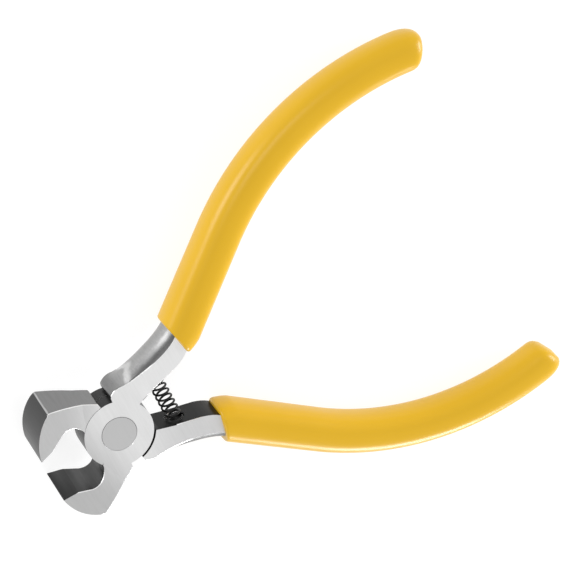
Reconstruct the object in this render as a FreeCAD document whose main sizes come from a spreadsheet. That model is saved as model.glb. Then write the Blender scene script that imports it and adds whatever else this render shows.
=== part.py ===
"""Small spring-opened end nippers: two identical forgings lapped on a rivet, with sleeve grips.

Frame: millimetres. The rivet's axis is Z and passes through the origin, the back face of the
lapped head is the plane z = 0, the handles point along +X and the jaws along -X. The tool is
stored open, as its spring holds it. Each half is drawn in its own closed position, where the
mirror plane between the handles is y = 0, then turned about the rivet to the open position.
"""
import FreeCAD, Part
import math
import os

import Sketcher
from FreeCAD import Placement, Rotation, Vector

SIZES = [
    ("overall_length", 115.0, "closed, from the cutting edges to the grip ends"),
    ("jaw_width", 12.7, "along the cutting edge"),
    ("head_thickness", 7.4, "over both lapped halves"),
    ("open_half_angle", 17.1, "each half, from closed to the stored position"),
    ("lap_gap", 0.1, "between the two lapped discs"),
    ("lap_radius", 7.3, "disc of each half"),
    ("recess_radius", 7.38, "recess that the other disc turns in, on the jaw"),
    ("shoulder_radius", 7.75, "the same recess on the handle"),
    ("bore_radius", 3.0, "rivet hole"),
    ("rivet_head_radius", 3.75, "flush head at the face"),
    ("rivet_head_depth", 0.8, "countersunk part"),
    ("rivet_rim", 0.12, "chamfer round the head"),
    ("rivet_clearance", 0.05, "running fit in the turning half"),
    # jaw outline, closed
    ("edge_x", 17.05, "cutting edge, towards -X"),
    ("edge_y", 0.04, "half the gap left at the closed edges"),
    ("nose_x", 13.8, "jaw corner"),
    ("nose_y", 9.7, "jaw corner"),
    ("nose_radius", 11.4, "outer bevel"),
    ("nose_break", 0.7, "rounding of the jaw corner"),
    ("heel_x", 3.3, "jaw heel"),
    ("heel_y", 7.75, "jaw heel"),
    ("heel_radius", 45.0, "outer side of the jaw"),
    ("heel_break", 0.35, "rounding of the heel"),
    ("notch_x", 2.75, "foot of the heel on the disc"),
    ("notch_y", 6.6, "foot of the heel on the disc"),
    ("bevel_x", 14.0, "end of the inner bevel"),
    ("bevel_y", 1.6, "end of the inner bevel"),
    ("slope_x", 12.2, "end of the slope behind the bevel"),
    ("slope_y", 3.35, "end of the slope behind the bevel"),
    ("hollow_x", 7.75, "hollow's end at the head"),
    ("hollow_y", 3.35, "hollow's end at the head"),
    ("hollow_radius", 2.9, "hollow behind the cutting edge"),
    ("fillet_x", 6.9, "end of the hollow's fillet on the disc"),
    ("fillet_y", 2.25, "end of the hollow's fillet on the disc"),
    ("fillet_radius", 1.6, "the hollow's fillet on the disc"),
    ("jaw_root", 2.5, "where the jaw and the shoulder start inside the disc"),
    ("flare_x", 6.5, "where the jaw starts to widen, towards -X"),
    # handle, closed
    ("shoulder_foot_x", 4.0, "shoulder on the recess"),
    ("shoulder_foot_y", 6.66, "shoulder on the recess"),
    ("shoulder_tip_x", 4.35, "shoulder tip"),
    ("shoulder_tip_y", 7.35, "shoulder tip"),
    ("shoulder_end_x", 7.6, "end of the shoulder lobe"),
    ("shoulder_end_y", 7.25, "end of the shoulder lobe"),
    ("shoulder_arc", 3.2, "top of the shoulder lobe"),
    ("inner_y", 1.5, "inner face from the mirror plane"),
    ("root_x", 6.2, "start of the crowned bar"),
    ("root_outer", 7.55, "edge of the outer side"),
    ("root_crown", 0.3, "height of the crown"),
    ("neck_x", 9.8, "bar behind the shoulder"),
    ("neck_outer", 6.55, "edge of the outer side"),
    ("neck_crown", 1.2, "height of the crown"),
    ("waist_x", 14.0, "thinnest part of the bar"),
    ("waist_outer", 5.85, "edge of the outer side"),
    ("waist_crown", 1.9, "height of the crown"),
    ("wrist_x", 18.2, "where the inner face turns outwards"),
    ("wrist_outer", 5.7, "edge of the outer side"),
    ("wrist_crown", 2.2, "height of the crown"),
    ("cuff_x", 23.0, "inside the grip's mouth"),
    ("cuff_inner", 3.5, "inner face"),
    ("cuff_outer", 7.05, "edge of the outer side"),
    ("cuff_crown", 2.0, "height of the crown"),
    # grip line, closed: a straight run, then one long arc
    ("mouth_x", 21.8, "the grip's mouth, square to the closed tool"),
    ("mouth_y", 0.9, "inner corner of the mouth"),
    ("taper_x", 25.2, "start of the taper to the mouth, on the inner side"),
    ("taper_y", 1.25, "start of the taper to the mouth, on the inner side"),
    ("grip_start_x", 19.5, "start of the grip's line"),
    ("grip_start_y", 3.62, "start of the grip's line"),
    ("grip_slope", 23.9, "direction of the straight run"),
    ("grip_run", 25.2, "length of the straight run"),
    ("grip_bend", 61.3, "radius of the arc"),
    ("mouth_width", 8.9, "in the plane of the handles"),
    ("mouth_depth", 9.8, "along Z"),
    ("tail_width", 8.5, "in the plane of the handles"),
    ("tail_depth", 8.2, "along Z"),
    ("grip_corner", 3.4, "rounding along the grip"),
    ("grip_nose", 2.4, "rounding of the closed end"),
    ("tang_x", 22.4, "start of the tang, inside the bar"),
    ("tang_width", 5.4, "in the plane of the handles"),
    ("tang_depth", 6.0, "along Z"),
    ("tang_share", 0.86, "part of the grip that the tang fills"),
    # return spring
    ("spring_x", 11.7, "axis of the spring, along Y"),
    ("spring_diameter", 3.5, "outside"),
    ("spring_wire", 0.45, "wire"),
    ("spring_coils", 8.5, "turns"),
    ("seat_radius", 1.9, "blind hole in each handle"),
    ("seat_depth", 1.1, "blind hole in each handle"),
    ("seat_clearance", 0.06, "between the spring's end and the hole"),
]
SIZE = {alias: value for alias, value, _note in SIZES}

HEAD_HALF = SIZE["head_thickness"] / 2
OPEN = SIZE["open_half_angle"]
GRIP_SECTIONS = 9
NOSE_STEPS = 6
EDGE_REACH = 0.05
FLARE_MARGIN = 1.0
LAP_FACE = "Sizes.lap_gap / 2"


def make_sheet(doc):
    """Write every driving dimension into the spreadsheet, one aliased cell each."""
    sheet = doc.addObject("Spreadsheet::Sheet", "Sizes")
    for row, (alias, value, note) in enumerate(SIZES, start=1):
        sheet.set("A%d" % row, alias)
        sheet.set("B%d" % row, str(value))
        sheet.setAlias("B%d" % row, alias)
        sheet.set("C%d" % row, note)
    doc.recompute()
    return sheet


def cell(alias):
    """The expression that reads one cell of the spreadsheet."""
    return "Sizes." + alias


def value_of(term):
    """The number for a signed alias such as '-edge_x', or for a plain number."""
    if isinstance(term, (int, float)):
        return float(term)
    if term.startswith("-"):
        return -SIZE[term[1:]]
    return SIZE[term]


def expression_of(term):
    """The spreadsheet expression for a signed alias."""
    if term.startswith("-"):
        return "-" + cell(term[1:])
    return cell(term)


def origin_plane(body, role):
    """One of the body's own origin planes, found by its role."""
    return next(item for item in body.Origin.OriginFeatures if item.Role == role)


def new_sketch(body, name, role="XY_Plane"):
    """A sketch on one of the body's own origin planes."""
    sketch = body.newObject("Sketcher::SketchObject", name)
    sketch.AttachmentSupport = [(origin_plane(body, role), "")]
    sketch.MapMode = "FlatFace"
    return sketch


def add_arc(sketch, start, end, radius):
    """Add an arc; a positive radius turns left on the way from start to end.

    Returns the geometry's index and which of its ends is the start.
    """
    chord = end - start
    reach = abs(radius)
    height = math.sqrt(reach ** 2 - chord.Length ** 2 / 4)
    left = Vector(-chord.y, chord.x, 0).normalize()
    centre = (start + end) * 0.5 + left * math.copysign(height, radius)
    first, last = (start, end) if radius > 0 else (end, start)
    turn_on = math.atan2(first.y - centre.y, first.x - centre.x)
    turn_off = math.atan2(last.y - centre.y, last.x - centre.x)
    circle = Part.Circle(centre, Vector(0, 0, 1), reach)
    index = sketch.addGeometry(Part.ArcOfCircle(circle, turn_on, turn_off), False)
    return index, (1 if radius > 0 else 2)


def bind(sketch, kind, where, term):
    """Add one dimension to a sketch; a signed alias also ties it to the spreadsheet."""
    index = sketch.addConstraint(Sketcher.Constraint(kind, *where, value_of(term)))
    if isinstance(term, str):
        sketch.setExpression("Constraints[%d]" % index, expression_of(term))


def draw_outline(sketch, corners):
    """Draw a closed outline, each corner (x, y, radius of the arc to the next or None)."""
    points = [Vector(value_of(x), value_of(y), 0) for x, y, _bend in corners]
    edges = []
    for place, (_x, _y, bend) in enumerate(corners):
        start = points[place]
        end = points[(place + 1) % len(points)]
        if bend is None:
            edges.append((sketch.addGeometry(Part.LineSegment(start, end), False), 1))
        else:
            edges.append(add_arc(sketch, start, end, value_of(bend)))
    for place, (geometry, first) in enumerate(edges):
        following, follow_first = edges[(place + 1) % len(edges)]
        sketch.addConstraint(Sketcher.Constraint("Coincident", geometry, 3 - first, following, follow_first))
    for (x, y, bend), (geometry, first) in zip(corners, edges):
        bind(sketch, "DistanceX", (-1, 1, geometry, first), x)
        bind(sketch, "DistanceY", (-1, 1, geometry, first), y)
        if bend is not None:
            bind(sketch, "Radius", (geometry,), bend.lstrip("-") if isinstance(bend, str) else abs(bend))
    return sketch


def close_polygon(sketch, corners):
    """Draw a closed outline of straight lines and join their ends."""
    count = len(corners)
    for place, corner in enumerate(corners):
        sketch.addGeometry(Part.LineSegment(corner, corners[(place + 1) % count]), False)
    for place in range(count):
        sketch.addConstraint(Sketcher.Constraint("Coincident", place, 2, (place + 1) % count, 1))


def pin_corners(sketch, corners, dimensions):
    """Fix corners of a polygon; each dimension is (axis, corner, expression or None)."""
    for axis, place, expression in dimensions:
        amount = corners[place].x if axis == "X" else corners[place].y
        index = sketch.addConstraint(Sketcher.Constraint("Distance" + axis, -1, 1, place, 1, amount))
        if expression:
            sketch.setExpression("Constraints[%d]" % index, expression)


def pad(body, name, sketch, length, both_sides=True):
    """Pad a sketch, the length an expression; both sides puts the sketch in the middle."""
    feature = body.newObject("PartDesign::Pad", name)
    feature.Profile = sketch
    feature.SideType = "Symmetric" if both_sides else "One side"
    feature.setExpression("Length", length)
    return feature


def jaw(body):
    """The jaw: its outline padded to the full width, then the two sides cut to the flare."""
    outline = draw_outline(new_sketch(body, "JawOutline"), [
        ("-edge_x", "-edge_y", "nose_radius"),
        ("-nose_x", "-nose_y", "heel_radius"),
        ("-heel_x", "-heel_y", None),
        ("-notch_x", "-notch_y", None),
        ("-jaw_root", "-jaw_root", None),
        ("-fillet_x", "-fillet_y", "-fillet_radius"),
        ("-hollow_x", "-hollow_y", "-hollow_radius"),
        ("-slope_x", "-slope_y", None),
        ("-bevel_x", "-bevel_y", None),
    ])
    pad(body, "Jaw", outline, cell("jaw_width"))
    for side, sign in (("Upper", ""), ("Lower", "-")):
        flare = new_sketch(body, side + "FlareSide", "XZ_Plane")
        draw_flare(flare, sign)
        cut = body.newObject("PartDesign::Pocket", side + "Flare")
        cut.Profile = flare
        cut.SideType = "Symmetric"
        cut.setExpression("Length", "4 * " + cell("nose_y"))


def draw_flare(sketch, sign):
    """The waste beside the jaw: head thickness at the flare line, jaw width at the edge."""
    way = -1 if sign else 1
    edge = -SIZE["edge_x"]
    beyond = edge - FLARE_MARGIN
    beyond_expression = "-Sizes.edge_x - %g" % FLARE_MARGIN
    half_width = way * SIZE["jaw_width"] / 2
    waste = way * SIZE["jaw_width"]
    head = way * HEAD_HALF
    corners = [Vector(edge, half_width, 0), Vector(-SIZE["flare_x"], head, 0), Vector(0, head, 0),
               Vector(0, waste, 0), Vector(beyond, waste, 0), Vector(beyond, half_width, 0)]
    close_polygon(sketch, corners)
    pin_corners(sketch, corners, [
        ("X", 0, "-Sizes.edge_x"), ("Y", 0, sign + "Sizes.jaw_width / 2"),
        ("X", 1, "-Sizes.flare_x"), ("Y", 1, sign + "Sizes.head_thickness / 2"),
        ("X", 2, None), ("Y", 2, sign + "Sizes.head_thickness / 2"),
        ("X", 3, None), ("Y", 3, sign + "Sizes.jaw_width"),
        ("X", 4, beyond_expression), ("Y", 4, sign + "Sizes.jaw_width"),
        ("X", 5, beyond_expression), ("Y", 5, sign + "Sizes.jaw_width / 2"),
    ])


def shoulder(body):
    """The lobe that joins the disc to the handle, as thick as the head."""
    outline = draw_outline(new_sketch(body, "ShoulderOutline"), [
        ("shoulder_foot_x", "shoulder_foot_y", None),
        ("jaw_root", "jaw_root", None),
        ("root_x", "inner_y", None),
        ("neck_x", "inner_y", None),
        ("neck_x", "neck_outer", None),
        ("shoulder_end_x", "shoulder_end_y", "shoulder_arc"),
        ("shoulder_tip_x", "shoulder_tip_y", None),
    ])
    pad(body, "Shoulder", outline, cell("head_thickness"))


def bar_section(body, station, inner):
    """A section of the bar across X: flat inner side and faces, crowned outer side."""
    sketch = new_sketch(body, station.capitalize() + "Section", "YZ_Plane")
    sketch.setExpression("AttachmentOffset.Base.z", cell(station + "_x"))
    low = value_of(inner)
    high = SIZE[station + "_outer"]
    crown = SIZE[station + "_crown"]
    radius = (HEAD_HALF ** 2 + crown ** 2) / (2 * crown)
    corners = [Vector(high, HEAD_HALF, 0), Vector(low, HEAD_HALF, 0), Vector(low, -HEAD_HALF, 0),
               Vector(high, -HEAD_HALF, 0)]
    for start, end in zip(corners, corners[1:]):
        sketch.addGeometry(Part.LineSegment(start, end), False)
    arc, first = add_arc(sketch, corners[3], corners[0], radius)
    for place in (0, 1):
        sketch.addConstraint(Sketcher.Constraint("Coincident", place, 2, place + 1, 1))
    sketch.addConstraint(Sketcher.Constraint("Coincident", 2, 2, arc, first))
    sketch.addConstraint(Sketcher.Constraint("Coincident", arc, 3 - first, 0, 1))
    sides = [(0, 1, station + "_outer", ""), (1, 1, inner, ""), (2, 1, inner, "-"),
             (2, 2, station + "_outer", "-")]
    for geometry, end, across, sign in sides:
        bind(sketch, "DistanceX", (-1, 1, geometry, end), across)
        height = -HEAD_HALF if sign else HEAD_HALF
        index = sketch.addConstraint(Sketcher.Constraint("DistanceY", -1, 1, geometry, end, height))
        sketch.setExpression("Constraints[%d]" % index, sign + "Sizes.head_thickness / 2")
    index = sketch.addConstraint(Sketcher.Constraint("Radius", arc, radius))
    rise = cell(station + "_crown")
    sketch.setExpression("Constraints[%d]" % index,
                         "(Sizes.head_thickness ^ 2 / 4 + %s ^ 2) / (2 * %s)" % (rise, rise))
    return sketch


def crowned_bar(body):
    """The bare bar between the shoulder and the grip, lofted through its sections."""
    stations = [("root", "inner_y"), ("neck", "inner_y"), ("waist", "inner_y"), ("wrist", "inner_y"),
                ("cuff", "cuff_inner")]
    sections = [bar_section(body, station, inner) for station, inner in stations]
    add_loft(body, "CrownedBar", sections)


def grip_line(share=1.0):
    """Points and directions of the grip's centre line: start, end of the run, end of the arc.

    The arc ends where the closed tool reaches its overall length, share sets how far it goes.
    """
    slope = math.radians(SIZE["grip_slope"])
    bend = SIZE["grip_bend"]
    start = Vector(SIZE["grip_start_x"], SIZE["grip_start_y"], 0)
    knee = start + Vector(math.cos(slope), math.sin(slope), 0) * SIZE["grip_run"]
    centre = knee + Vector(math.sin(slope), -math.cos(slope), 0) * bend
    tail_x = SIZE["overall_length"] - SIZE["edge_x"]
    sink = math.asin((tail_x - centre.x) / bend)
    whole = slope + sink
    part = (share * (SIZE["grip_run"] + bend * whole) - SIZE["grip_run"]) / bend
    return start, knee, centre, slope, part


def point_on_arc(centre, slope, turn, bend):
    """A point on the grip's arc, after turning by an angle from the end of the straight run."""
    heading = slope - turn
    return centre + Vector(-math.sin(heading), math.cos(heading), 0) * bend


def tang(body):
    """The tang inside the grip: an even bar along the grip's line, round at its end."""
    start, knee, centre, slope, turn = grip_line(SIZE["tang_share"])
    bend = SIZE["grip_bend"]
    half = SIZE["tang_width"] / 2
    out = Vector(-math.sin(slope), math.cos(slope), 0) * half
    sketch = new_sketch(body, "TangOutline")
    outer_start = run_point(start + out, slope)
    inner_start = run_point(start - out, slope)
    outer_end = point_on_arc(centre, slope, turn, bend + half)
    inner_end = point_on_arc(centre, slope, turn, bend - half)
    outer_mid = point_on_arc(centre, slope, turn / 2, bend + half)
    inner_mid = point_on_arc(centre, slope, turn / 2, bend - half)
    tip = point_on_arc(centre, slope, turn + half / bend, bend)
    pieces = [Part.LineSegment(inner_start, outer_start), Part.LineSegment(outer_start, knee + out),
              Part.Arc(knee + out, outer_mid, outer_end), Part.Arc(outer_end, tip, inner_end),
              Part.Arc(inner_end, inner_mid, knee - out), Part.LineSegment(knee - out, inner_start)]
    for piece in pieces:
        sketch.addGeometry(piece, False)
    pad(body, "Tang", sketch, cell("tang_depth"))


def run_point(origin, slope):
    """Where a line parallel to the grip's straight run passes the tang's start."""
    return origin + Vector(1, math.tan(slope), 0) * (SIZE["tang_x"] - origin.x)


def lap(body):
    """The lapped head: the recess for the other disc on one side, the own disc on the other."""
    recess = circle_sketch(body, "RecessOutline", "recess_radius")
    pocket_upwards(body, "Recess", recess)
    shoulder_recess = new_sketch(body, "ShoulderRecessOutline")
    draw_handle_side(shoulder_recess, "shoulder_radius")
    pocket_upwards(body, "ShoulderRecess", shoulder_recess)
    disc = circle_sketch(body, "DiscOutline", "lap_radius")
    disc.setExpression("AttachmentOffset.Base.z", LAP_FACE)
    pad(body, "Disc", disc, "(Sizes.head_thickness - Sizes.lap_gap) / 2", both_sides=False)


def circle_sketch(body, name, radius):
    """A circle about the rivet's axis."""
    sketch = new_sketch(body, name)
    sketch.addGeometry(Part.Circle(Vector(), Vector(0, 0, 1), SIZE[radius]), False)
    sketch.addConstraint(Sketcher.Constraint("Coincident", 0, 3, -1, 1))
    bind(sketch, "Radius", (0,), radius)
    return sketch


def pocket_upwards(body, name, sketch):
    """Clear everything on the other half's side of the lap, inside the sketch."""
    sketch.setExpression("AttachmentOffset.Base.z", LAP_FACE)
    pocket = body.newObject("PartDesign::Pocket", name)
    pocket.Profile = sketch
    pocket.SideType = "One side"
    pocket.setExpression("Length", cell("jaw_width"))


def draw_handle_side(sketch, radius):
    """Half a disc on the handle's side of the rivet."""
    quarter = math.pi / 2
    circle = Part.Circle(Vector(), Vector(0, 0, 1), SIZE[radius])
    sketch.addGeometry(Part.ArcOfCircle(circle, -quarter, quarter), False)
    sketch.addGeometry(Part.LineSegment(Vector(0, SIZE[radius], 0), Vector(0, -SIZE[radius], 0)), False)
    sketch.addConstraint(Sketcher.Constraint("Coincident", 0, 3, -1, 1))
    sketch.addConstraint(Sketcher.Constraint("Coincident", 0, 2, 1, 1))
    sketch.addConstraint(Sketcher.Constraint("Coincident", 1, 2, 0, 1))
    sketch.addConstraint(Sketcher.Constraint("Vertical", 1))
    bind(sketch, "Radius", (0,), radius)


def revolved_cut(body, name, sketch, axis):
    """Cut a full turn of a sketch about an axis."""
    cut = body.newObject("PartDesign::Groove", name)
    cut.Profile = sketch
    cut.ReferenceAxis = axis
    cut.Angle = 360.0
    return cut


def rivet_hole(body):
    """The rivet's bore with its countersink at the face."""
    sketch = new_sketch(body, "BoreSide", "XZ_Plane")
    draw_rivet_side(sketch, 0.0)
    revolved_cut(body, "Bore", sketch, (sketch, ["V_Axis"]))


def draw_rivet_side(sketch, play):
    """Half of the rivet's section above the middle: shank, then cone to the face."""
    bore = SIZE["bore_radius"] - play
    head = SIZE["rivet_head_radius"] - play
    neck = HEAD_HALF - SIZE["rivet_head_depth"]
    corners = [Vector(0, 0, 0), Vector(bore, 0, 0), Vector(bore, neck, 0), Vector(head, HEAD_HALF, 0),
               Vector(0, HEAD_HALF, 0)]
    loose = " - Sizes.rivet_clearance" if play else ""
    top = "Sizes.head_thickness / 2"
    close_polygon(sketch, corners)
    pin_corners(sketch, corners, [
        ("X", 0, None), ("Y", 0, None), ("X", 1, "Sizes.bore_radius" + loose), ("Y", 1, None),
        ("X", 2, "Sizes.bore_radius" + loose), ("Y", 2, top + " - Sizes.rivet_head_depth"),
        ("X", 3, "Sizes.rivet_head_radius" + loose), ("Y", 3, top), ("X", 4, None), ("Y", 4, top),
    ])


def break_rivet_rim(doc, body, name, height):
    """Chamfer the rim of one rivet head."""
    doc.recompute()
    base = body.Tip
    for index, edge in enumerate(base.Shape.Edges, start=1):
        box = edge.BoundBox
        if box.ZLength < EDGE_REACH and abs(box.ZMin - height) < EDGE_REACH:
            rim = "Edge%d" % index
    chamfer = body.newObject("PartDesign::Chamfer", name)
    chamfer.Base = (base, [rim])
    chamfer.setExpression("Size", cell("rivet_rim"))


def spring_seat(body):
    """The blind hole for the spring, square to the spring when the tool is open."""
    lean = math.radians(OPEN)
    axis = Vector(math.sin(lean), math.cos(lean), 0)
    side = Vector(axis.y, -axis.x, 0)
    mouth = seat_mouth()
    foot = mouth - axis * SIZE["seat_radius"]
    floor = mouth + axis * SIZE["seat_depth"]
    sketch = new_sketch(body, "SeatSide")
    wide = side * SIZE["seat_radius"]
    corners = [foot, foot + wide, floor + wide, floor]
    for place, corner in enumerate(corners):
        sketch.addGeometry(Part.LineSegment(corner, corners[(place + 1) % len(corners)]), False)
    sketch.addGeometry(Part.LineSegment(foot, floor), True)
    revolved_cut(body, "SpringSeat", sketch, (sketch, ["Axis0"]))


def seat_mouth():
    """Where the spring's axis meets the inner face, in the closed position of the half."""
    lean = math.radians(OPEN)
    along = (SIZE["spring_x"] * math.sin(lean) + SIZE["inner_y"]) / math.cos(lean)
    return Vector(SIZE["spring_x"] * math.cos(lean) + along * math.sin(lean), SIZE["inner_y"], 0)


def upright_edge(shape, x, y):
    """Name of the upright edge that stands at a point in plan."""
    for index, edge in enumerate(shape.Edges, start=1):
        middle = edge.valueAt((edge.FirstParameter + edge.LastParameter) / 2)
        upright = edge.BoundBox.ZLength > edge.Length / 2
        if upright and math.hypot(middle.x - x, middle.y - y) < EDGE_REACH:
            return "Edge%d" % index
    raise RuntimeError("no upright edge at %.2f, %.2f" % (x, y))


def round_corner(doc, body, name, corner):
    """Round the jaw's upright edge at one named corner of its outline."""
    doc.recompute()
    base = body.Tip
    edge = upright_edge(base.Shape, -SIZE[corner + "_x"], -SIZE[corner + "_y"])
    fillet = body.newObject("PartDesign::Fillet", name)
    fillet.Base = (base, [edge])
    fillet.setExpression("Radius", cell(corner + "_break"))


def half(doc, label, turn):
    """One forging, drawn closed and put in its open place by turn."""
    body = doc.addObject("PartDesign::Body", "Body_" + label)
    body.Label = label
    jaw(body)
    round_corner(doc, body, "NoseBreak", "nose")
    round_corner(doc, body, "HeelBreak", "heel")
    shoulder(body)
    crowned_bar(body)
    tang(body)
    lap(body)
    rivet_hole(body)
    spring_seat(body)
    body.Placement = turn
    return body


def along_grip(distance):
    """The point and the heading at a distance along the grip's line."""
    start, knee, centre, slope, _turn = grip_line()
    past_knee = distance - SIZE["grip_run"]
    if past_knee <= 0:
        return start + (knee - start) * (distance / SIZE["grip_run"]), slope
    turned = past_knee / SIZE["grip_bend"]
    return point_on_arc(centre, slope, turned, SIZE["grip_bend"]), slope - turned


def grip_length():
    """Length of the grip's line, from its start inside the bar to the closed end."""
    turn = grip_line()[-1]
    return SIZE["grip_run"] + SIZE["grip_bend"] * turn


def grip_section(body, name, distance, inset=0.0):
    """A section of the grip: a rounded rectangle between the mouth's size and the tail's."""
    place, heading = along_grip(distance)
    share = distance / grip_length()
    forward = Vector(math.cos(heading), math.sin(heading), 0)
    across = Vector(-math.sin(heading), math.cos(heading), 0)
    sketch = body.newObject("Sketcher::SketchObject", name)
    sketch.Placement = Placement(place, Rotation(across, Vector(0, 0, 1), forward, "ZXY"))
    corner = SIZE["grip_corner"] - inset
    wide = between("width", share) / 2 - inset - corner
    tall = between("depth", share) / 2 - inset - corner
    quarter = math.pi / 2
    marks = [(wide, tall), (-wide, tall), (-wide, -tall), (wide, -tall)]
    for turn, (x, y) in enumerate(marks):
        circle = Part.Circle(Vector(x, y, 0), Vector(0, 0, 1), corner)
        sketch.addGeometry(Part.ArcOfCircle(circle, turn * quarter, (turn + 1) * quarter), False)
    for turn in range(4):
        start = sketch.getPoint(turn, 2)
        end = sketch.getPoint((turn + 1) % 4, 1)
        side = sketch.addGeometry(Part.LineSegment(start, end), False)
        sketch.addConstraint(Sketcher.Constraint("Tangent", turn, 2, side, 1))
        sketch.addConstraint(Sketcher.Constraint("Tangent", side, 2, (turn + 1) % 4, 1))
    for turn in range(1, 4):
        sketch.addConstraint(Sketcher.Constraint("Equal", 0, turn))
    index = sketch.addConstraint(Sketcher.Constraint("Radius", 0, corner))
    sketch.setExpression("Constraints[%d]" % index, "Sizes.grip_corner - %.6f" % inset)
    for kind, side, amount in (("DistanceX", "width", wide), ("DistanceY", "depth", tall)):
        mouth, tail = cell("mouth_" + side), cell("tail_" + side)
        reach = "(%s + (%s - %s) * %.6f) / 2 - Sizes.grip_corner" % (mouth, tail, mouth, share)
        for ends in ((-1, 1, 0, 3), (2, 3, -1, 1)):
            index = sketch.addConstraint(Sketcher.Constraint(kind, *ends, amount))
            sketch.setExpression("Constraints[%d]" % index, reach)
    return sketch


def between(side, share):
    """The grip's width or depth at a share of its length."""
    return SIZE["mouth_" + side] + (SIZE["tail_" + side] - SIZE["mouth_" + side]) * share


def add_loft(body, name, sections, ruled=False):
    """Loft a solid through the sections."""
    loft = body.newObject("PartDesign::AdditiveLoft", name)
    loft.Profile = sections[0]
    loft.Sections = sections[1:]
    loft.Ruled = ruled
    return loft


def grip_blank(doc, label, turn):
    """The solid outside shape of a grip, along the grip's line, with a rounded closed end."""
    body = doc.addObject("PartDesign::Body", "Blank_" + label)
    body.Label = label + "_blank"
    radius = SIZE["grip_nose"]
    shoulder_at = grip_length() - radius
    marks = [shoulder_at * step / (GRIP_SECTIONS - 1) for step in range(GRIP_SECTIONS)]
    sleeve = [grip_section(body, "GripSection%d" % number, mark) for number, mark in enumerate(marks)]
    add_loft(body, "Grip", sleeve)
    angles = [math.radians(90.0 * step / NOSE_STEPS) for step in range(NOSE_STEPS)]
    nose = [grip_section(body, "NoseSection%d" % number, shoulder_at + radius * math.sin(angle),
                         radius * (1 - math.cos(angle))) for number, angle in enumerate(angles)]
    add_loft(body, "GripNose", nose, ruled=True)
    mouth_cut(body)
    body.Placement = turn
    return body


def mouth_cut(body):
    """Trim the grip's mouth square to the closed tool's length and taper its inner side."""
    sketch = new_sketch(body, "MouthWaste")
    far = SIZE["overall_length"]
    mouth = SIZE["mouth_x"]
    taper = SIZE["taper_x"]
    corners = [Vector(0, -far, 0), Vector(taper, -far, 0), Vector(taper, SIZE["taper_y"], 0),
               Vector(mouth, SIZE["mouth_y"], 0), Vector(mouth, far, 0), Vector(0, far, 0)]
    close_polygon(sketch, corners)
    pin_corners(sketch, corners, [
        ("X", 0, None), ("Y", 0, "-Sizes.overall_length"),
        ("X", 1, "Sizes.taper_x"), ("Y", 1, "-Sizes.overall_length"),
        ("X", 2, "Sizes.taper_x"), ("Y", 2, "Sizes.taper_y"),
        ("X", 3, "Sizes.mouth_x"), ("Y", 3, "Sizes.mouth_y"),
        ("X", 4, "Sizes.mouth_x"), ("Y", 4, "Sizes.overall_length"),
        ("X", 5, None), ("Y", 5, "Sizes.overall_length"),
    ])
    cut = body.newObject("PartDesign::Pocket", "Mouth")
    cut.Profile = sketch
    cut.SideType = "Symmetric"
    cut.setExpression("Length", "2 * " + cell("mouth_depth"))


def grip(doc, label, turn, forging):
    """A sleeve moulded on its handle: the outside shape less the forging inside it."""
    sleeve = doc.addObject("Part::Cut", "Cut_" + label)
    sleeve.Base = grip_blank(doc, label, turn)
    sleeve.Tool = forging
    sleeve.Label = label
    return sleeve


def rivet(doc, label):
    """The rivet: tight in the front half, with running clearance in the back half."""
    body = doc.addObject("PartDesign::Body", "Body_" + label)
    body.Label = label
    for side, play in (("Front", 0.0), ("Back", SIZE["rivet_clearance"])):
        sketch = new_sketch(body, side + "Side", "XZ_Plane")
        if side == "Back":
            sketch.AttachmentOffset = Placement(Vector(), Rotation(Vector(1, 0, 0), 180))
        draw_rivet_side(sketch, play)
        turned = body.newObject("PartDesign::Revolution", side)
        turned.Profile = sketch
        turned.ReferenceAxis = (sketch, ["V_Axis"])
        turned.Angle = 360.0
    break_rivet_rim(doc, body, "FrontRim", HEAD_HALF)
    break_rivet_rim(doc, body, "BackRim", -HEAD_HALF)
    body.Placement = Placement(Vector(0, 0, HEAD_HALF), Rotation())
    return body


def spring_reach():
    """Distance from the middle of the open spring to the floor of either seat."""
    lean = math.radians(OPEN)
    along = (SIZE["spring_x"] * math.sin(lean) + SIZE["inner_y"]) / math.cos(lean)
    return along + SIZE["seat_depth"]


def spring(doc, label):
    """The return spring: round wire along a helix between the two seats."""
    wire = SIZE["spring_wire"]
    height = 2 * (spring_reach() - SIZE["seat_clearance"]) - wire
    helix = doc.addObject("Part::Helix", "SpringLine")
    helix.setExpression("Radius", "(Sizes.spring_diameter - Sizes.spring_wire) / 2")
    helix.Height = height
    helix.setExpression("Pitch", "%.6f / Sizes.spring_coils" % height)
    section = doc.addObject("Part::Circle", "SpringWire")
    section.setExpression("Radius", "Sizes.spring_wire / 2")
    doc.recompute()
    mean_radius = (SIZE["spring_diameter"] - wire) / 2
    section.Placement = Placement(Vector(mean_radius, 0, 0), Rotation(Vector(1, 0, 0), 90))
    coil = doc.addObject("Part::Sweep", "Coil_" + label)
    coil.Sections = [section]
    coil.Spine = (helix, ["Edge1"])
    coil.Solid = True
    coil.Frenet = True
    coil.Label = label
    coil.Placement = Placement(Vector(SIZE["spring_x"], height / 2, HEAD_HALF), Rotation(Vector(1, 0, 0), 90))
    return coil


def check(doc, nodes):
    """Stop if any object failed or any part is missing, invalid or not a solid."""
    for item in doc.Objects:
        bad = [state for state in item.State if state in ("Invalid", "Error")]
        if bad:
            raise RuntimeError("%s is %s" % (item.Name, bad))
    for node in nodes:
        shape = node.Shape
        if shape.isNull() or not shape.isValid() or not shape.Solids:
            raise RuntimeError("%s has no valid solid" % node.Label)
        box = shape.BoundBox
        print("%-14s %9.2f mm3, solids %d, x %.2f %.2f, y %.2f %.2f, z %.2f %.2f" % (
            node.Label, shape.Volume, len(shape.Solids), box.XMin, box.XMax, box.YMin, box.YMax,
            box.ZMin, box.ZMax))


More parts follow.
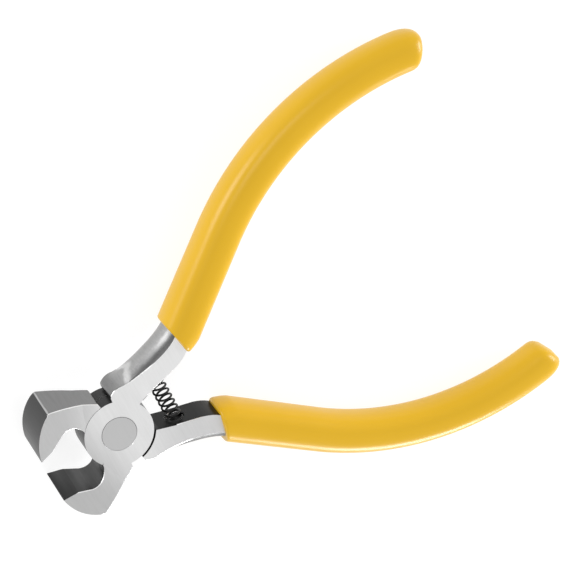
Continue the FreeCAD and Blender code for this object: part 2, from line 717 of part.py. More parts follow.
def main():
    """Build the document and write one STEP file for each part."""
    doc = FreeCAD.newDocument("EndNippers")
    make_sheet(doc)
    lift = Vector(0, 0, HEAD_HALF)
    front_turn = Placement(lift, Rotation(Vector(0, 0, 1), OPEN))
    flip = Placement(Vector(), Rotation(Vector(1, 0, 0), 180))
    back_turn = Placement(lift, Rotation(Vector(0, 0, 1), -OPEN)).multiply(flip)
    front = half(doc, "front_half", front_turn)
    back = half(doc, "back_half", back_turn)
    nodes = [front, back, grip(doc, "front_grip", front_turn, front), grip(doc, "back_grip", back_turn, back),
             rivet(doc, "pivot_rivet"), spring(doc, "return_spring")]
    doc.recompute()
    check(doc, nodes)
    os.makedirs("parts", exist_ok=True)
    for node in nodes:
        node.Shape.exportStep("parts/%s.step" % node.Label)


main()
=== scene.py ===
"""Looks of the small end nippers: ground and blackened forgings, a flush rivet, a black return
spring and two yellow vinyl sleeves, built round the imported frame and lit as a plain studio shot.

Frame: metres. The rivet's axis is Z, the handles point along +X, the front half's handle is on the
+Y side, and z = 0 is the back face of the lapped head.
"""
import logging
import math
from dataclasses import dataclass, field
from enum import Enum

import bmesh
import bpy
import numpy as np
from mathutils import Matrix, Vector


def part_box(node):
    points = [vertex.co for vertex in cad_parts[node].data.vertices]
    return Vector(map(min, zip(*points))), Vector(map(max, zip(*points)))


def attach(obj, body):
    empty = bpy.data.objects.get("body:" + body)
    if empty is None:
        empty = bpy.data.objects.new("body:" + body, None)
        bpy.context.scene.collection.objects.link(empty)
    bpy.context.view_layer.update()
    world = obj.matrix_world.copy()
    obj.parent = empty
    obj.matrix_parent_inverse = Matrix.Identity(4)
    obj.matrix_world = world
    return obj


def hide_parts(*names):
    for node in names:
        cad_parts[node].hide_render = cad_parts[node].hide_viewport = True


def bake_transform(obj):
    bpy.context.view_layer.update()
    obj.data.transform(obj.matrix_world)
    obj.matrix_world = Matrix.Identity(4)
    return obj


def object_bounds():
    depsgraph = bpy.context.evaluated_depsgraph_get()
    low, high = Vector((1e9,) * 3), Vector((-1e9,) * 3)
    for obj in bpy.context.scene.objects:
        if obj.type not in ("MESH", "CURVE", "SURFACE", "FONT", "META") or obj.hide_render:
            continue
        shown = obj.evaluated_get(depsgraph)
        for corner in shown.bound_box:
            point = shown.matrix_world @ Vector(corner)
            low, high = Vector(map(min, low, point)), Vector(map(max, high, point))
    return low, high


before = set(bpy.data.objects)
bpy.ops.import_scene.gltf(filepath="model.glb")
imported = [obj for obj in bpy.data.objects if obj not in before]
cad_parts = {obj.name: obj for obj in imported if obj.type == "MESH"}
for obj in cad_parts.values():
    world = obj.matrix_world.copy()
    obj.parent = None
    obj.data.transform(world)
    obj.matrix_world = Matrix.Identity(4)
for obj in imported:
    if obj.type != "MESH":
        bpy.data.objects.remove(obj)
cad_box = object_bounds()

log = logging.getLogger("nippers")
MM = 0.001
TURN = 2 * math.pi
GRAIN_STRENGTH = 0.12
GRAIN_DEPTH = 0.02 * MM
STEEL_GRAIN_SCALE = 2600.0


# ---------------------------------------------------------------- shader building


class Wire:
    """One value in a node tree; arithmetic on it adds Math nodes."""

    def __init__(self, book: "Book", socket: bpy.types.NodeSocket) -> None:
        """Wrap a socket of the tree that the book writes."""
        self.book = book
        self.socket = socket

    def _math(self, operation: str, *terms: object) -> "Wire":
        """Add one Math node over the terms."""
        return self.book.math(operation, *terms)

    def __add__(self, other: object) -> "Wire":
        """Sum."""
        return self._math("ADD", self, other)

    def __sub__(self, other: object) -> "Wire":
        """Difference."""
        return self._math("SUBTRACT", self, other)

    def __rsub__(self, other: object) -> "Wire":
        """Difference, from a plain number."""
        return self._math("SUBTRACT", other, self)

    def __mul__(self, other: object) -> "Wire":
        """Product."""
        return self._math("MULTIPLY", self, other)

    def __neg__(self) -> "Wire":
        """The value with its sign turned."""
        return self._math("MULTIPLY", self, -1.0)

    def __abs__(self) -> "Wire":
        """The value without its sign."""
        return self._math("ABSOLUTE", self)

    __radd__ = __add__
    __rmul__ = __mul__

    def above(self, low: float, high: float) -> "Wire":
        """A mask that rises smoothly.

        Args:
            low: where it leaves 0.
            high: where it reaches 1.

        Returns:
            The mask.
        """
        return self.book.node("ShaderNodeMapRange", {"interpolation_type": "SMOOTHSTEP"},
                              {"Value": self, "From Min": low, "From Max": high}, "Result")

    def below(self, low: float, high: float) -> "Wire":
        """1 below low, 0 above high and smooth between them."""
        return 1 - self.above(low, high)


class Book:
    """Writes one material's node tree."""

    def __init__(self, name: str) -> None:
        """Start a material with only a Principled shader and its output."""
        self.material = bpy.data.materials.new(name)
        self.material.use_nodes = True
        self.tree = self.material.node_tree
        self.shader = self.tree.nodes["Principled BSDF"]

    def node(self, kind: str, settings: dict, inputs: dict, output: str | int = 0) -> Wire:
        """Add a node.

        Args:
            kind: the node's type.
            settings: its properties, set first.
            inputs: values or wires for its sockets, by name or place.
            output: which of its outputs to hand back.

        Returns:
            The chosen output as a wire.
        """
        node = self.tree.nodes.new(kind)
        for key, value in settings.items():
            setattr(node, key, value)
        for key, value in inputs.items():
            self.feed(node.inputs[key], value)
        return Wire(self, node.outputs[output])

    def feed(self, socket: bpy.types.NodeSocket, value: object) -> None:
        """Link or set one socket.

        Args:
            socket: the socket to feed.
            value: a wire, which is linked, or a plain value, which is set.
        """
        if isinstance(value, Wire):
            self.tree.links.new(value.socket, socket)
        else:
            socket.default_value = value

    def math(self, operation: str, *terms: object) -> Wire:
        """Add a Math node over wires and plain numbers."""
        return self.node("ShaderNodeMath", {"operation": operation}, dict(enumerate(terms)))

    def set(self, **values: object) -> "Book":
        """Feed the Principled shader.

        Args:
            values: values or wires by socket name, with _ for a space.

        Returns:
            The book itself.
        """
        for key, value in values.items():
            self.feed(self.shader.inputs[key.replace("_", " ")], value)
        return self

    def coordinates(self, output: str = "Object") -> Wire:
        """The piece's own coordinates or its own normal."""
        return self.node("ShaderNodeTexCoord", {}, {}, output)

    def turned(self, vector: Wire, turn: tuple, move: tuple = (0, 0, 0)) -> Wire:
        """A vector turned and moved by a Mapping node."""
        return self.node("ShaderNodeMapping", {"vector_type": "POINT"},
                         {"Vector": vector, "Rotation": turn, "Location": move})

    def stretched(self, scale: tuple) -> Wire:
        """The piece's own coordinates, scaled by a Mapping node."""
        return self.node("ShaderNodeMapping", {"vector_type": "POINT"},
                         {"Vector": self.coordinates(), "Scale": scale})

    def parts(self, vector: Wire) -> tuple:
        """Split a vector.

        Args:
            vector: the vector's wire.

        Returns:
            Its three parts, each a wire.
        """
        node = self.tree.nodes.new("ShaderNodeSeparateXYZ")
        self.feed(node.inputs[0], vector)
        return tuple(Wire(self, output) for output in node.outputs)

    def noise(self, vector: Wire, scale: float, detail: float = 3.0, rough: float = 0.5) -> Wire:
        """Plain noise between 0 and 1."""
        return self.node("ShaderNodeTexNoise", {}, {"Vector": vector, "Scale": scale, "Detail": detail,
                                                    "Roughness": rough}, 0)

    def mix(self, share: Wire | float, low: object, high: object) -> Wire:
        """A colour between two colours."""
        return self.node("ShaderNodeMix", {"data_type": "RGBA"}, {0: share, 6: low, 7: high}, 2)

    def bump(self, height: Wire, strength: float, distance: float, normal: Wire | None = None) -> Wire:
        """Bend a normal by a height.

        Args:
            height: the height's wire.
            strength: how much of the bend to use.
            distance: the height that 1 stands for, in metres.
            normal: the normal to bend, or the surface's own.

        Returns:
            The bent normal.
        """
        inputs = {"Height": height, "Strength": strength, "Distance": distance}
        if normal is not None:
            inputs["Normal"] = normal
        return self.node("ShaderNodeBump", {}, inputs)


def grey(level: float) -> tuple:
    """A neutral colour."""
    return (level, level, level, 1.0)


def fine_grain(book: Book, stretch: tuple, scale: float) -> Wire:
    """Fine grinding lines: noise drawn out along the axis with the small stretch."""
    return book.noise(book.stretched(stretch), scale, 4.0, 0.6)


# ---------------------------------------------------------------- the halves' places


class Side(Enum):
    """The two halves, with the body that each rides on and its sign along Y."""

    FRONT = ("front", 1.0)
    BACK = ("back", -1.0)

    @property
    def body(self) -> str:
        """The CAD body's name."""
        return self.value[0]

    @property
    def sign(self) -> float:
        """+1 for the half whose handle is on the +Y side."""
        return self.value[1]


@dataclass(frozen=True)
class Lap:
    """How each half lies on the rivet: the opening angle and the head's thickness."""

    open_angle: float = math.radians(17.1)
    thickness: float = 7.4 * MM

    def place(self, points: np.ndarray, side: Side) -> np.ndarray:
        """Move points from a half's closed position to its open place.

        The back half is the front half turned over about X; each then turns away from the
        mirror plane by the opening angle.

        Args:
            points: an array whose last axis is X, Y and Z.
            side: the half that the points belong to.

        Returns:
            The moved points, in the same shape.
        """
        flat = points.reshape(-1, 3).copy()
        flat[:, 1:] *= side.sign
        angle = side.sign * self.open_angle
        turn = np.array(Matrix.Rotation(angle, 3, "Z"))
        flat = flat @ turn.T
        flat[:, 2] += self.thickness / 2
        return flat.reshape(points.shape)

    def closed_coordinates(self, book: Book, side: Side) -> tuple:
        """Object coordinates and the object's normal, both turned back to the closed position.

        Args:
            book: the material that is being written.
            side: the half that wears it.

        Returns:
            The position's three parts and the normal's three parts.
        """
        turn = (0, 0, -side.sign * self.open_angle)
        middle = (0, 0, -self.thickness / 2)
        position = book.parts(book.turned(book.coordinates("Object"), turn, middle))
        normal = book.parts(book.turned(book.coordinates("Normal"), turn))
        if side is Side.BACK:
            position = (position[0], -position[1], -position[2])
            normal = (normal[0], -normal[1], -normal[2])
        return position, normal


# ---------------------------------------------------------------- finishes


@dataclass(frozen=True)
class ForgedSteel:
    """Ground bright faces, satin grey sides, a bevel in painted shade and black scale on the inner walls.

    Plain tones are neutral base colours. The face levels, the crowned bar's crest, foot and streak,
    the bevel's fade, the corner line and the bright edges are painted light and shade. A pair is
    where a mask starts and ends: a place in the closed position, or a part of the normal. Tilt is how
    much a surface faces along Z.
    """

    lap: Lap
    # painted light and shade: one ground finish on all flat faces, drawn darker on the jaw and on the
    # back half's handle
    jaw_face_painted_shade: float = 0.60
    head_face: float = 0.92
    front_handle_face: float = 0.96
    back_handle_face_painted_shade: float = 0.78
    side: float = 0.25
    # painted highlight and shade on the crowned bar: lighter where it faces sideways, darker where it
    # turns toward the faces
    crown_painted_highlight: float = 0.44
    crown_painted_shade: float = 0.15
    # painted highlight: a bright diagonal streak across the bar near the shoulder
    crown_painted_streak: float = 0.72
    # painted shade: the bevel is drawn near black close to the X axis and paler farther out across the
    # half
    bevel_painted_pale: float = 0.05
    bevel_painted_dark: float = 0.004
    # painted highlight: a pale line on the rounded corner between the jaw's side and its bevel
    corner_painted_highlight: float = 0.55
    scale: float = 0.007
    hollow_dark: float = 0.020
    hollow_light: float = 0.080
    recess: float = 0.035
    # partly polished metal, partly painted highlight: the rounded outer edges are drawn almost white
    edge: float = 0.97
    worn_face: float = 0.90
    worn_side: float = 0.66
    face_rough: float = 0.36
    side_rough: float = 0.30
    grain_rough: float = 0.10
    jaw_to_head: tuple = (-12.0 * MM, 1.0 * MM)
    head_to_handle: tuple = (3.0 * MM, 14.0 * MM)
    head_reach: tuple = (8.35 * MM, 8.45 * MM)
    upright_tilt: tuple = (0.42, 0.50)
    crown_start: tuple = (5.6 * MM, 6.1 * MM)
    crown_outward: tuple = (0.05, 0.15)
    crown_tilt: tuple = (0.86, 0.93)
    painted_crest_tilt: tuple = (0.30, 0.75)
    bar_blend: tuple = (5.0 * MM, 9.0 * MM)
    streak_sweep: float = 4.5 * MM
    streak_rise: tuple = (9.6 * MM, 10.6 * MM)
    streak_fall: tuple = (11.0 * MM, 12.8 * MM)
    bar_start: tuple = (4.0 * MM, 5.0 * MM)
    bar_inward: tuple = (0.45, 0.60)
    jaw_end: tuple = (-6.0 * MM, -5.6 * MM)
    hollow_slant: float = 0.6
    hollow_inward: tuple = (0.10, 0.25)
    bevel_place: tuple = (-13.55 * MM, -13.30 * MM)
    bevel_forward: tuple = (0.62, 0.74)
    bevel_painted_fade: tuple = (1.0 * MM, 9.5 * MM)
    line_place: tuple = (-13.2 * MM, -13.0 * MM)
    line_rise: tuple = (0.22, 0.36)
    line_fall: tuple = (0.60, 0.72)
    edge_highlight_tilt: tuple = (0.90, 0.96)
    edge_highlight_height: tuple = (2.5 * MM, 3.0 * MM)
    edge_highlight_reach: tuple = (7.8 * MM, 8.0 * MM)
    face_grain: tuple = (1.0, 0.05, 1.0)
    side_grain: tuple = (1.0, 1.0, 0.06)
    bands: tuple = (1.0, 1.0, 0.05)
    bands_scale: float = 330.0
    bands_blend: tuple = (0.40, 0.62)

    def make(self, side: Side) -> bpy.types.Material:
        """Make the finish for one half.

        Args:
            side: the half that wears it.

        Returns:
            The material.
        """
        book = Book("forged_steel_" + side.body)
        (x, y, z), (nx, ny, nz) = self.lap.closed_coordinates(book, side)
        tilt = abs(nz)
        radius = book.math("SQRT", x * x + y * y)
        crown = x.above(*self.crown_start) * ny.above(*self.crown_outward) * tilt.below(*self.crown_tilt)
        upright = book.math("MAXIMUM", tilt.below(*self.upright_tilt), crown)
        near_head = radius.below(*self.head_reach)
        bar_inside = (-ny).above(*self.bar_inward) * x.above(*self.bar_start)
        jaw_inside = (ny + nx * self.hollow_slant).above(*self.hollow_inward) * x.below(*self.jaw_end)
        inside = book.math("MAXIMUM", near_head, book.math("MAXIMUM", bar_inside, jaw_inside))
        # partly polished metal, partly painted highlight: near-white tone on the rounded outer edges
        broken = tilt.above(*self.upright_tilt) * tilt.below(*self.edge_highlight_tilt) * (1 - crown)
        broken = broken * abs(z).above(*self.edge_highlight_height) * radius.above(*self.edge_highlight_reach)
        walls = self.wall_tone(book, near_head, jaw_inside * (1 - near_head))
        sides = book.mix(inside, self.side_tone(book, x, y, nx, tilt), walls)
        steel = book.mix(upright, self.face_tone(book, x, side), sides)
        steel = book.mix(broken, steel, grey(self.edge))
        grain = book.mix(upright, fine_grain(book, self.face_grain, STEEL_GRAIN_SCALE),
                         fine_grain(book, self.side_grain, STEEL_GRAIN_SCALE))
        worn = book.mix(upright, grey(self.worn_face), grey(self.worn_side))
        steel = book.node("ShaderNodeMix", {"data_type": "RGBA", "blend_type": "MULTIPLY"},
                          {0: 1.0, 6: steel, 7: book.mix(grain, worn, grey(1.0))}, 2)
        rough = book.math("MULTIPLY_ADD", upright, self.side_rough - self.face_rough, self.face_rough)
        book.set(Base_Color=steel, Metallic=1.0, Roughness=rough + grain * self.grain_rough,
                 Normal=book.bump(grain, GRAIN_STRENGTH, GRAIN_DEPTH))
        return book.material

    def face_tone(self, book: Book, x: Wire, side: Side) -> Wire:
        """The flat faces: jaw, head and handle, blended along the half, with painted light and shade.

        Args:
            book: the material that is being written.
            x: the place along the closed half.
            side: the half that wears it.

        Returns:
            The colour.
        """
        # painted light and shade: the same ground face is drawn darker on the jaw and on the back half's
        # handle
        far = self.front_handle_face if side is Side.FRONT else self.back_handle_face_painted_shade
        face = book.mix(x.above(*self.jaw_to_head), grey(self.jaw_face_painted_shade), grey(self.head_face))
        return book.mix(x.above(*self.head_to_handle), face, grey(far))

    def side_tone(self, book: Book, x: Wire, y: Wire, nx: Wire, tilt: Wire) -> Wire:
        """The outer sides: the jaw's side, its bevel with painted shade and a painted highlight line on
        its corner, and the crowned bar with a painted highlight, painted shade and a painted streak.

        Args:
            book: the material that is being written.
            x: the place along the closed half.
            y: the place across it.
            nx: the normal's part along X.
            tilt: how much the surface faces along Z.

        Returns:
            The colour.
        """
        # painted highlight and shade: the bar's tone follows how much its surface faces along Z
        bar = book.mix(tilt.below(*self.painted_crest_tilt), grey(self.crown_painted_shade), grey(self.crown_painted_highlight))
        # painted highlight: a bright streak swept across the bar by the surface's tilt
        swept = x + tilt * self.streak_sweep
        streak = swept.above(*self.streak_rise) * swept.below(*self.streak_fall)
        bar = book.mix(streak, bar, grey(self.crown_painted_streak))
        sides = book.mix(x.above(*self.bar_blend), grey(self.side), bar)
        # painted shade: the bevel's tone fades from near black close to the X axis to paler grey farther
        # out
        fade = (-y).above(*self.bevel_painted_fade)
        bevel = book.mix(fade, grey(self.bevel_painted_dark), grey(self.bevel_painted_pale))
        bevelled = (-nx).above(*self.bevel_forward) * x.below(*self.bevel_place)
        # painted highlight: a pale line drawn on the corner between the jaw's side and its bevel
        line = (-nx).above(*self.line_rise) * (-nx).below(*self.line_fall) * x.below(*self.line_place)
        return book.mix(line, book.mix(bevelled, sides, bevel), grey(self.corner_painted_highlight))

    def wall_tone(self, book: Book, near_head: Wire, hollow: Wire) -> Wire:
        """The inner walls: black scale, the recess and the banded hollow behind the edge.

        Args:
            book: the material that is being written.
            near_head: mask of the walls round the head.
            hollow: mask of the hollow.

        Returns:
            The colour.
        """
        bands = book.noise(book.stretched(self.bands), self.bands_scale, 1.0)
        scaled = book.mix(near_head, grey(self.scale), grey(self.recess))
        banded = book.mix(bands.above(*self.bands_blend), grey(self.hollow_dark), grey(self.hollow_light))
        return book.mix(hollow, scaled, banded)


@dataclass(frozen=True)
class RivetSteel:
    """The rivet's ground head, a little darker than the forgings."""

    level: float = 0.61
    worn: float = 0.94
    rim: float = 0.14
    rim_tilt: tuple = (0.8, 0.95)
    rough: float = 0.42
    grain_rough: float = 0.08
    grain_stretch: tuple = (1.0, 0.03, 1.0)
    grain_scale: float = 9000.0

    def make(self) -> bpy.types.Material:
        """Make the finish.

        Returns:
            The material.
        """
        book = Book("rivet_steel")
        grain = fine_grain(book, self.grain_stretch, self.grain_scale)
        tilt = abs(book.parts(book.coordinates("Normal"))[2])
        head = book.mix(grain, grey(self.level * self.worn), grey(self.level))
        book.set(Base_Color=book.mix(tilt.above(*self.rim_tilt), grey(self.rim), head), Metallic=1.0,
                 Roughness=self.rough + grain * self.grain_rough,
                 Normal=book.bump(grain, GRAIN_STRENGTH, GRAIN_DEPTH))
        return book.material


@dataclass(frozen=True)
class SpringWire:
    """Blackened spring wire with a little drawing wear."""

    black: float = 0.008
    worn: float = 0.02
    rough: float = 0.3
    spots_rough: float = 0.15
    spots_scale: float = 2500.0

    def make(self) -> bpy.types.Material:
        """Make the finish.

        Returns:
            The material.
        """
        book = Book("spring_wire")
        spots = book.noise(book.coordinates(), self.spots_scale)
        book.set(Base_Color=book.mix(spots, grey(self.black), grey(self.worn)), Metallic=0.6,
                 Roughness=self.rough + spots * self.spots_rough)
        return book.material


@dataclass(frozen=True)
class Vinyl:
    """Glossy golden yellow dip-moulded vinyl."""

    deep: tuple = (0.645, 0.372, 0.0075, 1.0)
    pale: tuple = (0.69, 0.405, 0.011, 1.0)
    rough: float = 0.27
    skin_rough: float = 0.08
    cloud_scale: float = 60.0
    skin_scale: float = 1400.0
    skin_depth: float = 0.03 * MM

    def make(self) -> bpy.types.Material:
        """Make the finish.

        Returns:
            The material.
        """
        book = Book("grip_vinyl")
        cloud = book.noise(book.coordinates(), self.cloud_scale, 2.0)
        skin = book.noise(book.coordinates(), self.skin_scale, 2.0)
        book.set(Base_Color=book.mix(cloud, self.deep, self.pale),
                 Roughness=self.rough + skin * self.skin_rough,
                 Specular_IOR_Level=0.30, Coat_Weight=0.12, Coat_Roughness=0.25,
                 Normal=book.bump(skin, 0.08, self.skin_depth))
        return book.material


# ---------------------------------------------------------------- meshes from arrays


def surface(name: str, points: np.ndarray) -> bpy.types.Object:
    """A closed mesh from rings of points, with the first and last rings filled.

    Args:
        name: the piece's name.
        points: rings by points by three; each ring closes on itself.

    Returns:
        The object, at the origin.
    """
    rings, around, _ = points.shape
    index = np.arange(rings * around).reshape(rings, around)
    after = np.roll(index, -1, axis=1)
    quads = np.stack([index[:-1], after[:-1], after[1:], index[1:]], axis=-1).reshape(-1, 4)
    faces = [tuple(face) for face in quads.tolist()]
    faces.append(tuple(index[0][::-1].tolist()))
    faces.append(tuple(index[-1].tolist()))
    mesh = bpy.data.meshes.new(name)
    mesh.from_pydata(points.reshape(-1, 3).tolist(), [], faces)
    mesh.polygons.foreach_set("use_smooth", np.ones(len(faces), bool))
    mesh.update()
    piece = bpy.data.objects.new(name, mesh)
    bpy.context.scene.collection.objects.link(piece)
    return piece


def finish_piece(piece: bpy.types.Object, material: bpy.types.Material, slot: str, *nodes: str) -> None:
    """Dress a piece and hide the CAD nodes that it stands for.

    Args:
        piece: the piece.
        material: its finish.
        slot: not used.
        nodes: the CAD nodes that it stands for.
    """
    piece.data.materials.clear()
    piece.data.materials.append(material)
    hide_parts(*nodes)
    log.info("%s: %d faces", piece.name, len(piece.data.polygons))


# ---------------------------------------------------------------- sub-assemblies


@dataclass
class Forging:
    """One forged half: the CAD node's shape with its sharp outer edges broken by a small round."""

    side: Side
    finish: ForgedSteel
    edge_break: float = 0.15 * MM
    weld: float = 0.002 * MM
    flat: float = math.radians(0.8)
    sharp: float = math.radians(32.0)
    crease: float = math.radians(12.5)
    inner_reach: float = 8.3 * MM
    outer_reach: float = 17.0 * MM
    grip_start: float = 19.0 * MM

    def build(self) -> None:
        """Copy the CAD node's mesh, weld it, merge its flat triangles and break its edges."""
        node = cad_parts[self.side.body + "_half"]
        mesh = node.data.copy()
        work = bmesh.new()
        work.from_mesh(mesh)
        bmesh.ops.remove_doubles(work, verts=work.verts, dist=self.weld)
        bmesh.ops.dissolve_limit(work, angle_limit=self.flat, verts=work.verts, edges=work.edges)
        weight = work.edges.layers.float.new("bevel_weight_edge")
        for edge in work.edges:
            edge[weight] = float(self.is_broken(edge))
        work.to_mesh(mesh)
        work.free()
        mesh.polygons.foreach_set("use_smooth", np.ones(len(mesh.polygons), bool))
        mesh.set_sharp_from_angle(angle=self.crease)
        piece = bpy.data.objects.new(self.side.body + "_forging", mesh)
        bpy.context.scene.collection.objects.link(piece)
        bevel = piece.modifiers.new("edge_break", "BEVEL")
        bevel.width = self.edge_break
        bevel.segments = 2
        bevel.limit_method = "WEIGHT"
        bevel.use_clamp_overlap = False
        weighted = piece.modifiers.new("even_normals", "WEIGHTED_NORMAL")
        weighted.weight = 100
        weighted.keep_sharp = True
        finish_piece(piece, self.finish.make(self.side), "forged_steel", node.name)
        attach(piece, self.side.body)

    def is_broken(self, edge: bmesh.types.BMEdge) -> bool:
        """Whether an edge is sharp, clear of the lapped head and short of the cutting edge.

        Args:
            edge: the edge, in the welded mesh.

        Returns:
            True where the round goes.
        """
        if len(edge.link_faces) != 2 or edge.calc_face_angle(0.0) < self.sharp or not edge.is_convex:
            return False
        reach = [vert.co.xy.length for vert in edge.verts]
        in_grip = min(vert.co.x for vert in edge.verts) > self.grip_start
        return not in_grip and min(reach) > self.inner_reach and max(reach) < self.outer_reach


@dataclass
class GripSleeve:
    """A vinyl sleeve along its handle: a straight run, then one long arc, in the closed position."""

    side: Side
    lap: Lap
    mouth: tuple = (19.5 * MM, 3.62 * MM)
    mouth_x: float = 21.8 * MM
    slope: float = math.radians(23.9)
    run: float = 25.2 * MM
    bend: float = 61.3 * MM
    tip_x: float = 97.4 * MM
    mouth_half: tuple = (4.45 * MM, 4.9 * MM)
    tail_half: tuple = (4.25 * MM, 4.1 * MM)
    squareness: float = 2.5
    taper: float = 3.6 * MM
    taper_depth: float = 1.1 * MM
    taper_curve: float = 1.6
    lip: float = 0.55 * MM
    nose: float = 3.7 * MM
    nose_swell: float = 2.6 * MM
    nose_curve: float = 3.0
    end_skew: float = 0.24
    skew_reach: float = 9.0 * MM
    rings: int = 240
    around: int = 96
    ring_spread: float = 1.15

    def length(self) -> float:
        """Length of the centre line, from its start inside the bar to the closed end.

        Returns:
            The length in metres.
        """
        knee = self.mouth[0] + self.run * math.cos(self.slope)
        centre = knee + self.bend * math.sin(self.slope)
        return self.run + self.bend * (self.slope + math.asin((self.tip_x - centre) / self.bend))

    def centre_line(self, distance: np.ndarray) -> tuple:
        """The centre line: straight, then turning evenly with distance.

        Args:
            distance: distances from the line's start.

        Returns:
            The points in X and Y, and the headings.
        """
        past = np.maximum(distance - self.run, 0.0)
        along = np.minimum(distance, self.run)
        heading = self.slope - past / self.bend
        x = self.mouth[0] + along * math.cos(self.slope)
        y = self.mouth[1] + along * math.sin(self.slope)
        x = x + self.bend * (math.sin(self.slope) - np.sin(heading))
        y = y + self.bend * (np.cos(heading) - math.cos(self.slope))
        return np.stack([x, y], axis=-1), heading

    def build(self, material: bpy.types.Material) -> None:
        """Build the sleeve and let it ride on its half.

        Args:
            material: its finish.
        """
        piece = surface(self.side.body + "_sleeve", self.lap.place(self.skin(), self.side))
        finish_piece(piece, material, "grip_vinyl", self.side.body + "_grip")
        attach(piece, self.side.body)

    def skin(self) -> np.ndarray:
        """The sleeve's rings of points, in the closed position.

        Each ring is a superellipse across the centre line, |a|^n + |b|^n = 1 with n the
        squareness. The first rings lean until the mouth is square to X, turn the lip in and
        taper on the inner side; the last ones follow a superellipse to close the end, slowly on
        the outer side, and lean so that the inner side ends first.

        Returns:
            Rings by points by three.
        """
        whole = self.length()
        share = np.linspace(0.0, 1.0, self.rings) ** self.ring_spread
        angle = np.linspace(0.0, TURN, self.around, endpoint=False)
        flat = np.sign(np.cos(angle)) * np.abs(np.cos(angle)) ** (2 / self.squareness)
        tall = np.sign(np.sin(angle)) * np.abs(np.sin(angle)) ** (2 / self.squareness)
        first = (self.mouth_x - self.mouth[0]) / math.cos(self.slope)
        lean = self.mouth_half[0] * math.tan(self.slope) * flat
        start = first + lean
        distance = start[None, :] + (whole - start)[None, :] * share[:, None]
        line, heading = self.centre_line(distance)
        gone = distance / whole
        nose = self.nose + self.nose_swell * np.clip(flat, 0.0, 1.0)
        into_nose = np.clip((distance - (whole - nose)) / nose, 0.0, 1.0)
        closing = (1 - into_nose ** self.nose_curve) ** (1 / self.nose_curve)
        from_mouth = distance - start[None, :]
        into_lip = np.clip(1 - from_mouth / self.lip, 0.0, 1.0)
        opening = self.lip * (1 - np.sqrt(1 - into_lip ** 2))
        width = (self.mouth_half[0] * (1 - gone) + self.tail_half[0] * gone) * closing - opening
        depth = (self.mouth_half[1] * (1 - gone) + self.tail_half[1] * gone) * closing - opening
        tapering = np.clip(1 - from_mouth / self.taper, 0.0, 1.0) ** self.taper_curve
        inner = np.clip(-flat, 0.0, 1.0)[None, :] * tapering * self.taper_depth
        offset = width * flat[None, :] + inner
        across = np.stack([-np.sin(heading), np.cos(heading)], axis=-1)
        points = np.zeros((self.rings, self.around, 3))
        forward = np.stack([np.cos(heading), np.sin(heading)], axis=-1)
        into_skew = np.clip((distance - (whole - self.skew_reach)) / self.skew_reach, 0.0, 1.0)
        skew = self.end_skew * offset * into_skew ** 2
        points[:, :, :2] = line + across * offset[:, :, None] + forward * skew[:, :, None]
        points[:, :, 2] = depth * tall[None, :]
        return points


@dataclass
class Rivet:
    """The flush rivet: the CAD node with its own finish."""

    finish: RivetSteel

    def build(self) -> None:
        """Dress the CAD node."""
        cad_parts["pivot_rivet"].material_slots[0].material = self.finish.make()
        log.info("pivot_rivet dressed")


@dataclass
class ReturnSpring:
    """An open coil of black wire between the two handles."""

    wire: float = 0.45 * MM
    coils: float = 8.5
    steps: int = 640
    around: int = 14

    def build(self, material: bpy.types.Material) -> None:
        """Build the coil: round wire carried along a helix whose axis is Y.

        Args:
            material: its finish.
        """
        low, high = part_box("return_spring")
        middle = (low + high) / 2
        outer = (high.x - low.x) / 2
        mean = outer - self.wire / 2
        reach = (high.y - low.y) / 2 - self.wire / 2
        share = np.linspace(0.0, 1.0, self.steps)
        angle = TURN * self.coils * share
        centre = np.stack([middle.x + mean * np.cos(angle), middle.y + reach * (2 * share - 1),
                           middle.z + mean * np.sin(angle)], axis=-1)
        radial = np.stack([np.cos(angle), np.zeros_like(angle), np.sin(angle)], axis=-1)
        tangent = np.gradient(centre, axis=0)
        tangent /= np.linalg.norm(tangent, axis=1)[:, None]
        side = np.cross(tangent, radial)
        turn = np.linspace(0.0, TURN, self.around, endpoint=False)
        points = centre[:, None] + self.wire / 2 * (
            radial[:, None] * np.cos(turn)[None, :, None] + side[:, None] * np.sin(turn)[None, :, None])
        piece = surface("coil_spring", points)
        finish_piece(piece, material, "spring_steel", "return_spring")
        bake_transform(piece)


# ---------------------------------------------------------------- studio


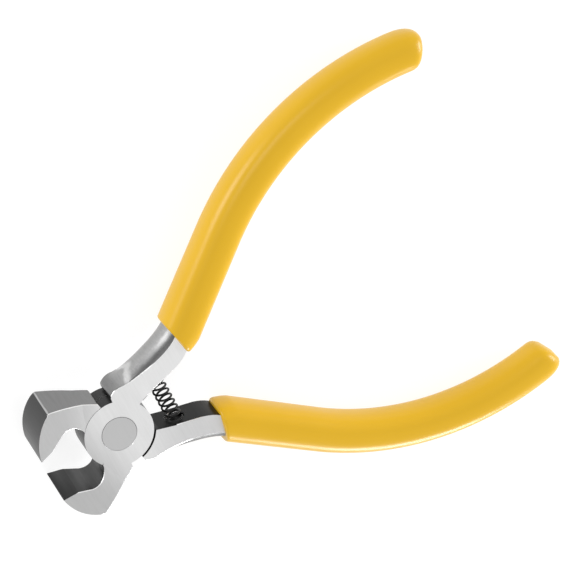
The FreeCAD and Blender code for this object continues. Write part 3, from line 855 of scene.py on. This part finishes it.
@dataclass
class Studio:
    """Plain pale floor, soft lights and the camera."""

    aim: tuple = (43.8 * MM, 9.0 * MM, 7.4 * MM)
    distance: float = 482.7 * MM
    bearing: float = math.radians(105.97)
    elevation: float = math.radians(59.47)
    lens: float = 150.0
    sensor: float = 36.0
    up: tuple = (0.5072, 0.7824, -0.3613)
    floor_size: float = 6.0
    floor_tone: float = 0.30
    floor_glow: float = 0.76
    surround: float = 0.70
    lights: dict = field(default_factory=lambda: {
        "key_softbox": ((-0.12, 0.42, 0.88), 0.35, 1.1),
        "low_softbox": ((0.00, -0.85, 0.07), 0.40, 7.5),
        "left_softbox": ((-0.50, 0.66, 0.20), 0.36, 3.0),
        "right_softbox": ((0.80, -0.20, 0.22), 0.40, 4.2),
    })

    def build(self) -> None:
        """Make the floor, the world, the lights and the camera."""
        self.floor()
        self.world()
        for name, (place, size, power) in self.lights.items():
            self.light(name, Vector(place), size, power)
        self.camera()

    def floor(self) -> None:
        """A wide pale floor just under the jaws."""
        level = cad_box[0][2]
        bpy.ops.mesh.primitive_plane_add(size=self.floor_size, location=(0, 0, level))
        floor = bpy.context.object
        floor.name = "floor"
        book = Book("pale_floor")
        book.set(Base_Color=grey(self.floor_tone), Roughness=0.9, Emission_Color=grey(1.0),
                 Emission_Strength=self.floor_glow)
        floor.data.materials.append(book.material)

    def world(self) -> None:
        """An even pale surround."""
        world = bpy.data.worlds.new("surround")
        world.use_nodes = True
        background = world.node_tree.nodes["Background"]
        background.inputs["Color"].default_value = grey(1.0)
        background.inputs["Strength"].default_value = self.surround
        bpy.context.scene.world = world
        bpy.context.scene.view_settings.view_transform = "Standard"

    def light(self, name: str, place: Vector, size: float, power: float) -> None:
        """Add a square soft light, turned to the tool.

        Args:
            name: the light's name.
            place: where it stands.
            size: the length of its side.
            power: its power in watts.
        """
        data = bpy.data.lights.new(name, "AREA")
        data.size = size
        data.energy = power
        lamp = bpy.data.objects.new(name, data)
        lamp.location = place
        lamp.rotation_euler = (Vector(self.aim) - place).to_track_quat("-Z", "Y").to_euler()
        bpy.context.scene.collection.objects.link(lamp)

    def camera(self) -> None:
        """The camera, rolled so that the handles point up and to the right."""
        data = bpy.data.cameras.new("camera")
        data.lens = self.lens
        data.sensor_width = self.sensor
        data.clip_start = 0.01
        camera = bpy.data.objects.new("camera", data)
        away = Vector((math.cos(self.elevation) * math.cos(self.bearing),
                       math.cos(self.elevation) * math.sin(self.bearing), math.sin(self.elevation)))
        camera.location = Vector(self.aim) + away * self.distance
        right = Vector(self.up).cross(away).normalized()
        up = away.cross(right)
        camera.rotation_euler = Matrix((right, up, away)).transposed().to_euler()
        bpy.context.scene.collection.objects.link(camera)
        bpy.context.scene.camera = camera


def main() -> None:
    """Build the pieces and the studio."""
    logging.basicConfig(level=logging.INFO, format="%(name)s: %(message)s")
    lap = Lap()
    steel = ForgedSteel(lap)
    vinyl = Vinyl().make()
    for side in Side:
        Forging(side, steel).build()
        GripSleeve(side, lap).build(vinyl)
    Rivet(RivetSteel()).build()
    ReturnSpring().build(SpringWire().make())
    Studio().build()


if __name__ == "__main__":
    main()
